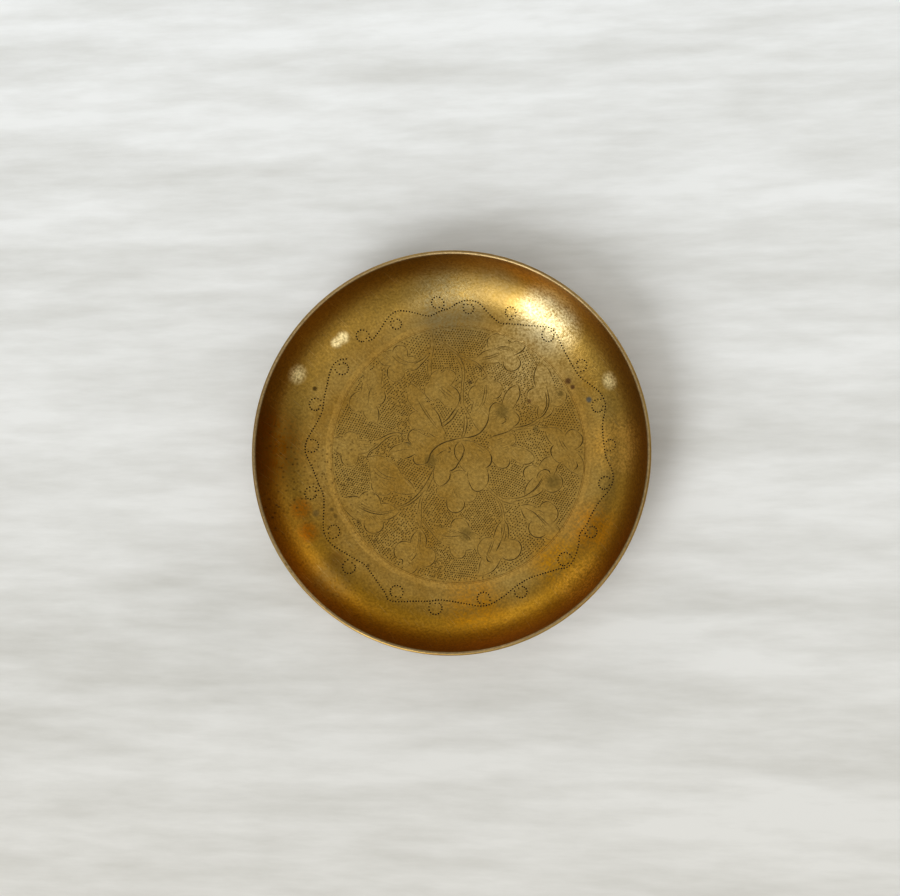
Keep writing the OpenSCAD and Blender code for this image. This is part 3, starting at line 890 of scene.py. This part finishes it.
vine = [
    (-34.8, 44.4), (-32.8, 45.4), (-29.8, 49.4), (-26.8, 53.4), (-23.3, 55.6), (-18.8, 55.4),
    (-14.8, 54.4), (-10.8, 53.7), (-6.8, 55.4), (-2.8, 56.6), (0.2, 58.4), (4.2, 59.4), (8.2, 58.4),
    (11.2, 55.4), (14.2, 52.4), (17.2, 50.4), (21.2, 50.1), (27.2, 49.4), (32.2, 48.9),
    (36.2, 48.2), (38.7, 45.9), (40.2, 42.4), (42.2, 38.4), (44.7, 33.9), (47.7, 29.4),
    (52.2, 25.9), (55.2, 23.4), (57.4, 19.4), (57.2, 15.4), (56.4, 11.4), (56.5, 6.4), (57, 2.4),
    (57.7, -1.6), (59.7, -5.6), (60.5, -9.6), (59.2, -13.6), (55.7, -17.6), (52.7, -22.1),
    (50.2, -27.1), (47.7, -30.6), (47.2, -34.6), (45.7, -39.6), (43.2, -43.1), (39.2, -44.1),
    (34.2, -45.6), (28.2, -47.6), (23.2, -50.6), (18.2, -54.6), (13.2, -57.6), (9.2, -58.3),
    (4.2, -57.6), (-1.8, -56.6), (-6.8, -56.1), (-10.8, -56.6), (-16.8, -56.6), (-22.8, -56.8),
    (-26.3, -56.1), (-27.8, -53.6), (-30.8, -49.6), (-33.8, -45.6), (-36.3, -42.6), (-39.8, -40.6),
    (-44.8, -37.6), (-49.3, -34.6), (-51.8, -31.1), (-52.6, -26.6), (-52.5, -20.6), (-52.8, -15.6),
    (-54.8, -11.1), (-56.5, -6.6), (-58.5, -2.1), (-59.8, 1.4), (-59.3, 5.4), (-57.3, 9.4),
    (-55.3, 12.9), (-53.3, 17.4), (-52.5, 22.4), (-51.3, 27.4), (-50.3, 31.4), (-48.8, 34.9),
    (-46.3, 36.9), (-43.3, 37.4),
]
curls = [
    (-37.3, 45.9, 2.8), (-23.8, 50.9, 2.4), (-7.8, 58.4, 2.8), (4.7, 56.4, 2.5), (20.7, 54.4, 2.5),
    (35.7, 45.4, 3), (48.2, 33.9, 2.6), (54.7, 17.9, 3), (59.2, 3.4, 2.6), (57.2, -11.6, 3),
    (52.2, -29.6, 2.7), (41.7, -40.6, 3.2), (25.2, -52.6, 2.8), (10.2, -55.6, 3), (-7.8, -59.1, 3),
    (-23.8, -53.1, 3), (-41.8, -43.6, 3), (-48.8, -29.6, 3), (-57.3, -15.1, 2.8), (-57.3, 3.9, 3),
    (-55.8, 19.4, 2.8), (-45.3, 33.9, 3),
]
vine_pitch = 1.05
least_pitch = 0.85
dots_per_mm = 5.6
curl_angle = 7.2
random.seed(11)
walk = smooth_path(vine, 0.1)
dots = [walk[0]]
for p in walk:
    if (p - dots[-1]).length > vine_pitch:
        dots.append(p)
# Each curl is a place and a radius. It leaves the vine and winds inwards by half its radius.
for x, y, size in curls:
    root = min(walk, key=lambda p: (p - Vector((x, y, 0))).length)
    start = atan2(root.y - y, root.x - x)
    for i in range(int(dots_per_mm * size)):
        turn = i / (dots_per_mm * size)
        reach = size * (1.05 - 0.5 * turn)
        angle = start + curl_angle * turn
        dots.append(Vector((x + reach * cos(angle), y + reach * sin(angle), 0)))
kept = []
for p in dots:
    if all((p - q).length > least_pitch for q in kept):
        kept.append(p)


def on_dish(x, y):
    """The height of the dish's inner face over a point, and how far it leans there."""
    out = max(0, hypot(x, y) - floor_radius)
    lean = atan2(out, sqrt(cove * cove - out * out))
    return floor_height + cove * (1 - cos(lean)), lean


def punch_marks(name, sides, depth, marks):
    """A mesh of pointed punch tips, each given as its half width and its place and turn."""
    # The tips are made sixty at a time, because a big bmesh is slow to add to.
    tips = bmesh.new()
    for i in range(0, len(marks), 60):
        few = bmesh.new()
        for half_width, at in marks[i : i + 60]:
            bmesh.ops.create_cone(
                few,
                cap_ends=True,
                segments=sides,
                radius1=0.02,
                radius2=2 * half_width,
                depth=2 * depth,
                matrix=at,
            )
        part = bpy.data.meshes.new(name)
        few.to_mesh(part)
        few.free()
        tips.from_mesh(part)
        bpy.data.meshes.remove(part)
    made = bpy.data.meshes.new(name)
    tips.to_mesh(made)
    tips.free()
    return made


marks = []
for p in kept:
    height, lean = on_dish(p.x, p.y)
    leaning = Matrix.Rotation(atan2(p.y, p.x), 4, "Z") @ Matrix.Rotation(-lean, 4, "Y")
    marks.append((random.uniform(0.27, 0.34), Matrix.Translation((p.x, p.y, height)) @ leaning))
cut(dish, punch_marks("punched_dots", 8, 0.24, marks))

# Matted ground
# Between the figures the floor is matted: rows of small pits struck close together with a
# square punch, so that the smooth figures stand out. About 0.9 mm from pit to pit.
ground_radius = 48.6
clear_of_strokes = 0.38
figures = []
cut_lines = {}
for outline, inside in bouquet.values():
    edge = []
    for width, *points in outline:
        edge += smooth_path(points, 0.5)
    across = [p.x for p in edge]
    along = [p.y for p in edge]
    figures.append((min(across), max(across), min(along), max(along), edge))
    for width, *points in outline + inside:
        if width:
            for p in smooth_path(points, 0.3):
                cut_lines.setdefault((round(p.x), round(p.y)), []).append((p, width))


def is_inside(x, y, edge):
    """Whether a point lies inside a closed outline."""
    odd = False
    for a, b in zip(edge, edge[1:] + edge[:1]):
        if (a.y > y) != (b.y > y) and x < a.x + (y - a.y) * (b.x - a.x) / (b.y - a.y):
            odd = not odd
    return odd


def is_free(x, y):
    """Whether a pit fits there: on the ground, clear of every figure and stroke."""
    if hypot(x, y) > ground_radius:
        return False
    for i in (-1, 0, 1):
        for j in (-1, 0, 1):
            for p, width in cut_lines.get((round(x) + i, round(y) + j), ()):
                if hypot(p.x - x, p.y - y) < width / 2 + clear_of_strokes:
                    return False
    for left, right, low, high, edge in figures:
        if left < x < right and low < y < high and is_inside(x, y, edge):
            return False
    return True


# The rows wander by up to a few millimetres, over about 30 mm, as a hand does.
random.seed(5)
pitch = 0.88
least_gap = 0.74
jitter = 0.07
wander = 5.0
row_turn = radians(50)
pits = []
taken = {}
rows_reach = 52
count = int(rows_reach / pitch)
for row in range(-count, count + 1):
    for step in range(-count, count + 1):
        u = (step + 0.5 * (row % 2)) * pitch
        v = row * pitch * 0.98
        x = u * cos(row_turn) - v * sin(row_turn)
        y = u * sin(row_turn) + v * cos(row_turn)
        drift = Vector((noise.noise(Vector((x, y, 0)) / 30), noise.noise(Vector((x, y, 90)) / 30)))
        x += wander * drift.x + random.uniform(-jitter, jitter)
        y += wander * drift.y + random.uniform(-jitter, jitter)
        cells = [(round(x) + i, round(y) + j) for i in (-1, 0, 1) for j in (-1, 0, 1)]
        crowd = [q for cell in cells for q in taken.get(cell, ())]
        if is_free(x, y) and all(hypot(x - a, y - b) > least_gap for a, b in crowd):
            pits.append((x, y))
            taken.setdefault((round(x), round(y)), []).append((x, y))

oblong = Matrix.Diagonal((1.15, 0.85, 1, 1))
marks = []
for x, y in pits:
    turned = Matrix.Rotation(row_turn + random.uniform(-0.2, 0.2), 4, "Z") @ oblong
    marks.append((random.uniform(0.26, 0.34), Matrix.Translation((x, y, floor_height)) @ turned))
cut(dish, punch_marks("matting_pits", 4, 0.17, marks))

# Dish finish
# One brass inside and out, in five states: rubbed by cleaning on the inner face and lip,
# brown in the pits and fine cuts, darker in the deeper cuts, black in the punched dots,
# and plainly tarnished outside. The dish is scaled from millimetres to metres here.
for v in dish.data.vertices:
    v.co *= 0.001
# A face is told by how deep it lies under the plain surface. The floor between the circles
# radii holds the scribed circles, which cleaning keeps bright.
WORN, PIT, CUT, DOT, OUTSIDE = range(5)
circles = (49.0, 50.25)
border_outside = 68
least_cut = 0.015
deep_cut = 0.062
states = []
for face in dish.data.polygons:
    x, y, z = face.center * 1000
    from_axis = hypot(x, y)
    state = WORN
    if z < floor_height - sheet / 2 and from_axis < floor_radius:
        state = OUTSIDE
    elif from_axis > floor_radius and hypot(from_axis - floor_radius, z - cove_centre.z) > middle:
        state = OUTSIDE
    elif from_axis < border_outside and not circles[0] < from_axis < circles[1]:
        surface, lean = on_dish(x, y)
        depth = (surface - z) * cos(lean)
        if depth > least_cut:
            state = DOT if from_axis > circles[0] else CUT if depth > deep_cut else PIT
    states.append(state)
for face in dish.data.polygons:
    face.use_smooth = True
dish.data.set_sharp_from_angle(angle=radians(18))


def patch(tree, place, x, y, inner, outer, strength=1.0):
    """A mask round a spot on the dish, in mm: strength within inner, fading to 0 at outer."""
    centre = Vector((x, y, on_dish(x, y)[0])) / 1000
    away = add(tree, "ShaderNodeVectorMath", {0: place, 1: centre}, operation="DISTANCE")
    return add(
        tree,
        "ShaderNodeMapRange",
        {0: away.outputs["Value"], 1: inner / 1000, 2: outer / 1000, 3: strength, 4: 0.0},
        interpolation_type="SMOOTHSTEP",
    ).outputs[0]


# Sheet brass, spun, buffed and then handled for decades: yellow metal under a brown tarnish
# in soft clouds about 18 mm across, with a speckle about 1 mm across. It is redder and deeper
# where the cove turns up and on the wall, out of a cloth's reach. Light and shade are painted
# into its colour as well: brighter, more orange fronts to the cove and wall, pale highlights at
# the back right and small glints on the cove, and darker patches on the left wall and at the
# back of the cove. Brass is metallic 1 with roughness near 0.3.
brass, tree, place, shader = new_material("sheet_brass_worn_and_painted_light")
clouds = add(tree, "ShaderNodeTexNoise", {"Vector": place, "Scale": 55.0, "Detail": 6.0, "Roughness": 0.6})
blotches = add(
    tree,
    "ShaderNodeTexNoise",
    {"Vector": place, "Scale": 160.0, "Detail": 4.0, "Roughness": 0.6},
)
grain = add(tree, "ShaderNodeTexNoise", {"Vector": place, "Scale": 1100.0, "Detail": 3.0, "Roughness": 0.6})
tarnish = add(tree, "ShaderNodeValToRGB", {"Fac": clouds.outputs["Fac"]})
tarnish.color_ramp.elements[0].position = 0.3
tarnish.color_ramp.elements[0].color = linear("8A6726")
tarnish.color_ramp.elements[1].position = 0.72
tarnish.color_ramp.elements[1].color = linear("A08242")
parts = add(tree, "ShaderNodeSeparateXYZ", {"Vector": place})
height = parts.outputs["Z"]
# Painted light: a mask from 0 behind the middle to 1 at the front, to paint the front walls brighter.
near = add(tree, "ShaderNodeMapRange", {0: parts.outputs["Y"], 1: 0.015, 2: -0.050, 3: 0.0, 4: 1.0})
up_cove = add(tree, "ShaderNodeMapRange", {0: height, 1: 0.0053, 2: 0.0085, 3: 0.0, 4: 0.9})
up_wall = add(tree, "ShaderNodeMapRange", {0: height, 1: 0.009, 2: 0.018, 3: 0.0, 4: 1.0})
rubbed = add(tree, "ShaderNodeMapRange", {0: height, 1: 0.0226, 2: 0.0234, 3: 0.0, 4: 1.0})

# Layers over the tarnish, from the lowest up: each a mask and a colour. The first two deepen
# the cove and the wall; their front half is painted brighter and more orange than their back
# half, which is painted light for the glow on the front walls. The third is a pale burnished
# band, 2.4 mm wide, just outside the scribed circles.
layers = []
for mask, back_unlit_tone, front_lit_tone in ((up_cove, "90702E", "AC7C1C"), (up_wall, "8A611A", "A06606")):
    deeper = add(
        tree,
        "ShaderNodeMix",
        {0: near.outputs[0], 6: linear(back_unlit_tone), 7: linear(front_lit_tone)},
        data_type="RGBA",
    )
    layers.append((mask.outputs[0], deeper.outputs[2]))
level = add(tree, "ShaderNodeVectorMath", {0: place, 1: (1, 1, 0)}, operation="MULTIPLY")
from_axis = add(tree, "ShaderNodeVectorMath", {0: level.outputs[0]}, operation="LENGTH")
band = add(
    tree,
    "ShaderNodeMath",
    {0: from_axis.outputs["Value"], 1: 0.0508, 2: 0.0012},
    operation="COMPARE",
)
band = add(tree, "ShaderNodeMath", {0: band.outputs[0], 1: 0.3}, operation="MULTIPLY")
layers.append((band.outputs[0], linear("B98F42")))

# Patches with ragged edges: place, inner and outer radius in millimetres, strength and colour.
# Most of them are painted light and shade, as marked below. Then the lip, rubbed paler all round.
coarse = add(
    tree,
    "ShaderNodeMix",
    {0: 0.6, 6: blotches.outputs["Fac"], 7: grain.outputs["Fac"]},
    data_type="RGBA",
)
ragged = add(tree, "ShaderNodeMapRange", {0: coarse.outputs[2], 1: 0.38, 2: 0.58, 3: 0.25, 4: 1.2})
for x, y, inner, outer, strength, tone in (
    # Painted shade: the left wall darker than the rest.
    (-73, 3, 6, 23, 1.0, "7E4A06"),
    # Painted highlight: paler, greyer brass at the back right, on the floor's edge and the cove, where the
    # main light's reflection falls.
    (28, 38, 5, 25, 0.85, "B2975C"),
    (36, 52, 6, 17, 0.95, "BFAC7E"),
    # Painted shade: a darker olive patch at the back of the cove, which dims the light reflected there.
    (-3, 58, 6, 22, 0.9, "806E46"),
    # A paler gold patch on the right of the cove.
    (63, 3, 5, 15, 1.0, "B4883A"),
    # Painted light: orange-gold glows low on the front of the cove and wall, the light reflected from the
    # brass across the dish.
    (-61, -21, 1, 6, 0.9, "A8620C"),
    (-58, -30, 1, 6, 0.9, "A8620C"),
    (53, -29, 3, 14, 0.8, "B07210"),
    (40, -42, 4, 15, 0.8, "A9740E"),
    (49, -48, 4, 15, 1.0, "C8902A"),
    (7, -60, 4, 17, 0.7, "A8700C"),
    # Painted shade: a darker patch at the back of the cove, which dims the light reflected there.
    (16, 65, 4, 14, 0.9, "7E6638"),
    # A small dark brown patch.
    (-47, -41, 1, 5, 0.7, "704416"),
    # Painted light: a paler, duller patch low on the front left wall.
    (-48, -48, 3, 13, 0.8, "86662C"),
    # Painted highlights: three small glints on the cove, drawn as pale spots: one at the back left made of
    # two spots, one at the left and one at the right.
    (-44.5, 45.5, 0.5, 3.4, 1.0, "E6D096"),
    (-47, 43.5, 0.5, 3.0, 1.0, "E6D096"),
    (-61.5, 31, 1, 5, 1.0, "E0C98C"),
    (59.5, 27.5, 1, 4.5, 1.0, "D8C084"),
):
    mask = add(
        tree,
        "ShaderNodeMath",
        {0: patch(tree, place, x, y, inner, outer, strength), 1: ragged.outputs[0]},
        operation="MULTIPLY",
        use_clamp=True,
    )
    layers.append((mask.outputs[0], linear(tone)))
layers.append((rubbed.outputs[0], linear("977F58")))

# Stains, 1 to 4 mm in radius, each at its own place on the floor and cove.
for x, y, size, strength, tone in (
    (43.1, 27.8, 1.5, 0.85, "4A2C1A"),
    (44.8, 25.5, 1.1, 0.85, "4A2C1A"),
    (51.1, 20.6, 1.3, 0.9, "4C4E48"),
    (28.1, 20.3, 1.0, 0.7, "5A3A22"),
    (40.1, 23.0, 1.4, 0.6, "54441E"),
    (5.1, 27.8, 0.9, 0.8, "3C2E1C"),
    (-55.9, 25.8, 1.1, 0.9, "3E2C10"),
    (-55.4, -22.7, 1.6, 0.6, "5A4A2C"),
    (-49.4, -21.2, 1.0, 0.7, "54401C"),
    (-48.0, -23.7, 1.0, 0.7, "54401C"),
    (-42.9, -9.7, 0.8, 0.7, "4A3818"),
    (-32.4, -33.4, 0.8, 0.7, "4A3818"),
    (-38.9, -26.0, 0.9, 0.7, "4A3818"),
    (-34.9, -43.0, 0.8, 0.7, "4A3818"),
    (30.6, 9.6, 1.2, 0.5, "50482A"),
    (-18.9, 4.1, 1.0, 0.5, "50482A"),
    (-10.4, -2.7, 3.0, 0.55, "56461F"),
    (17.6, 16.3, 3.0, 0.55, "56461F"),
    (37.6, -10.7, 3.5, 0.55, "56461F"),
    (3.6, -30.7, 3.0, 0.55, "56461F"),
):
    mask = patch(tree, place, x, y, size * 0.4, size * 1.2, strength)
    layers.append((mask, linear(tone)))

# Specks of dirt 0.5 to 1 mm across, more of them at the left and the front.
cells = add(tree, "ShaderNodeTexVoronoi", {"Vector": place, "Scale": 380.0}, voronoi_dimensions="2D")
specks = add(tree, "ShaderNodeMapRange", {0: cells.outputs["Distance"], 1: 0.09, 2: 0.19, 3: 0.8, 4: 0.0})
chance = add(tree, "ShaderNodeMapRange", {0: clouds.outputs["Fac"], 1: 0.42, 2: 0.58, 3: 0.25, 4: 1.0})
for mask in (patch(tree, place, -58, -22, 8, 60), chance.outputs[0]):
    specks = add(tree, "ShaderNodeMath", {0: specks.outputs[0], 1: mask}, operation="MULTIPLY")
layers.append((specks.outputs[0], linear("4A3212")))

# Hair scratches from cleaning, about 10 mm long. They are drawn 0.25 mm wide, several times
# coarser than real ones, so that they show.
turned = add(
    tree,
    "ShaderNodeMapping",
    {"Vector": place, "Rotation": (0, 0, -0.8), "Scale": (0.010, 0.00025, 1)},
    vector_type="TEXTURE",
)
streaks = add(tree, "ShaderNodeTexNoise", {"Vector": turned.outputs["Vector"], "Scale": 1.0, "Detail": 2.0})
hairs = add(tree, "ShaderNodeMapRange", {0: streaks.outputs["Fac"], 1: 0.64, 2: 0.72, 3: 0.0, 4: 0.4})
layers.append((hairs.outputs[0], linear("C2A468")))

colour = tarnish.outputs["Color"]
for mask, tone in layers:
    colour = add(tree, "ShaderNodeMix", {0: mask, 6: colour, 7: tone}, data_type="RGBA").outputs[2]
speckle = add(tree, "ShaderNodeMapRange", {0: grain.outputs["Fac"], 1: 0.3, 2: 0.7, 3: 0.72, 4: 1.28})
speckled = add(
    tree,
    "ShaderNodeMix",
    {0: 1.0, 6: colour, 7: speckle.outputs[0]},
    data_type="RGBA",
    blend_type="MULTIPLY",
)
tree.links.new(speckled.outputs[2], shader.inputs["Base Color"])
shader.inputs["Metallic"].default_value = 1.0
dull = add(tree, "ShaderNodeMapRange", {0: clouds.outputs["Fac"], 1: 0.3, 2: 0.7, 3: 0.42, 4: 0.32})
tree.links.new(dull.outputs[0], shader.inputs["Roughness"])
pitting = add(
    tree,
    "ShaderNodeBump",
    {"Height": grain.outputs["Fac"], "Strength": 0.35, "Distance": 0.0002},
)
tree.links.new(pitting.outputs["Normal"], shader.inputs["Normal"])


def clouded_metal(name, clouds, first, low, high, metallic, roughness):
    """A metal under clouds of tarnish from a low tone to a high one, with its tree, clouds and shader."""
    made, tree, place, shader = new_material(name)
    clouds = add(tree, "ShaderNodeTexNoise", {"Vector": place, **clouds})
    tone = add(tree, "ShaderNodeValToRGB", {"Fac": clouds.outputs["Fac"]})
    tone.color_ramp.elements[0].position = first
    tone.color_ramp.elements[0].color = linear(low)
    tone.color_ramp.elements[1].position = 0.7
    tone.color_ramp.elements[1].color = linear(high)
    tree.links.new(tone.outputs["Color"], shader.inputs["Base Color"])
    shader.inputs["Metallic"].default_value = metallic
    shader.inputs["Roughness"].default_value = roughness
    return made, tree, clouds, shader


# The same brass inside the engraver's cuts and the pits of the ground, under a thicker brown
# tarnish in patches 2 to 3 mm across: dull, with a little metal showing. The punched dots of
# the vine hold old polish, nearly black. The outside was never engraved and seldom rubbed, so
# its tarnish is plain and even, in clouds about 14 mm across.
fine = {"Scale": 400.0, "Detail": 3.0}
broad = {"Scale": 70.0, "Detail": 6.0, "Roughness": 0.6}
dish.data.materials.clear()
dish.data.materials.append(brass)
for name, clouds, first, low, high, metallic, roughness in (
    ("tarnish_in_the_pits", fine, 0.35, "5E491C", "82652C", 0.8, 0.5),
    ("tarnish_in_the_cuts", fine, 0.35, "40300F", "6A5220", 0.8, 0.5),
    ("old_polish_in_the_dots", fine, 0.35, "140C04", "3A270C", 0.8, 0.5),
    ("sheet_brass_outside", broad, 0.3, "86632A", "A88A4C", 1.0, 0.36),
):
    finish = clouded_metal(name, clouds, first, low, high, metallic, roughness)[0]
    dish.data.materials.append(finish)
dish.data.polygons.foreach_set("material_index", states)
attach(dish, "root")
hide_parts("dish")

# Foot ring
# Strip brass bent round and butt-jointed to a ring, which lifts the dish off the table and
# is soldered to it.
#
# Brass drawn to strip and seldom handled: a little paler and more even than the dish, under
# tarnish in clouds 8 mm across.
drawn = {"Scale": 120.0, "Detail": 5.0}
strip = clouded_metal("strip_brass_drawn", drawn, 0.3, "8F6C30", "C09A52", 1.0, 0.38)[0]
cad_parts["foot_ring"].data.materials.clear()
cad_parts["foot_ring"].data.materials.append(strip)

# Solder
# Soft tin solder that ran in between ring and dish when they were heated, and fills the
# ring's butt joint.
#
# Cooled solder has a dull grey skin with a faint frosty grain, 1 to 2 mm across.
frost = {"Scale": 700.0, "Detail": 4.0}
solder, tree, grain, shader = clouded_metal("soft_solder_cooled", frost, 0.3, "77736A", "A9A598", 1.0, 0.45)
ripple = add(tree, "ShaderNodeBump", {"Height": grain.outputs["Fac"], "Strength": 0.3, "Distance": 0.0002})
tree.links.new(ripple.outputs["Normal"], shader.inputs["Normal"])
for name in ("foot_solder", "seam_solder"):
    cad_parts[name].data.materials.clear()
    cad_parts[name].data.materials.append(solder)
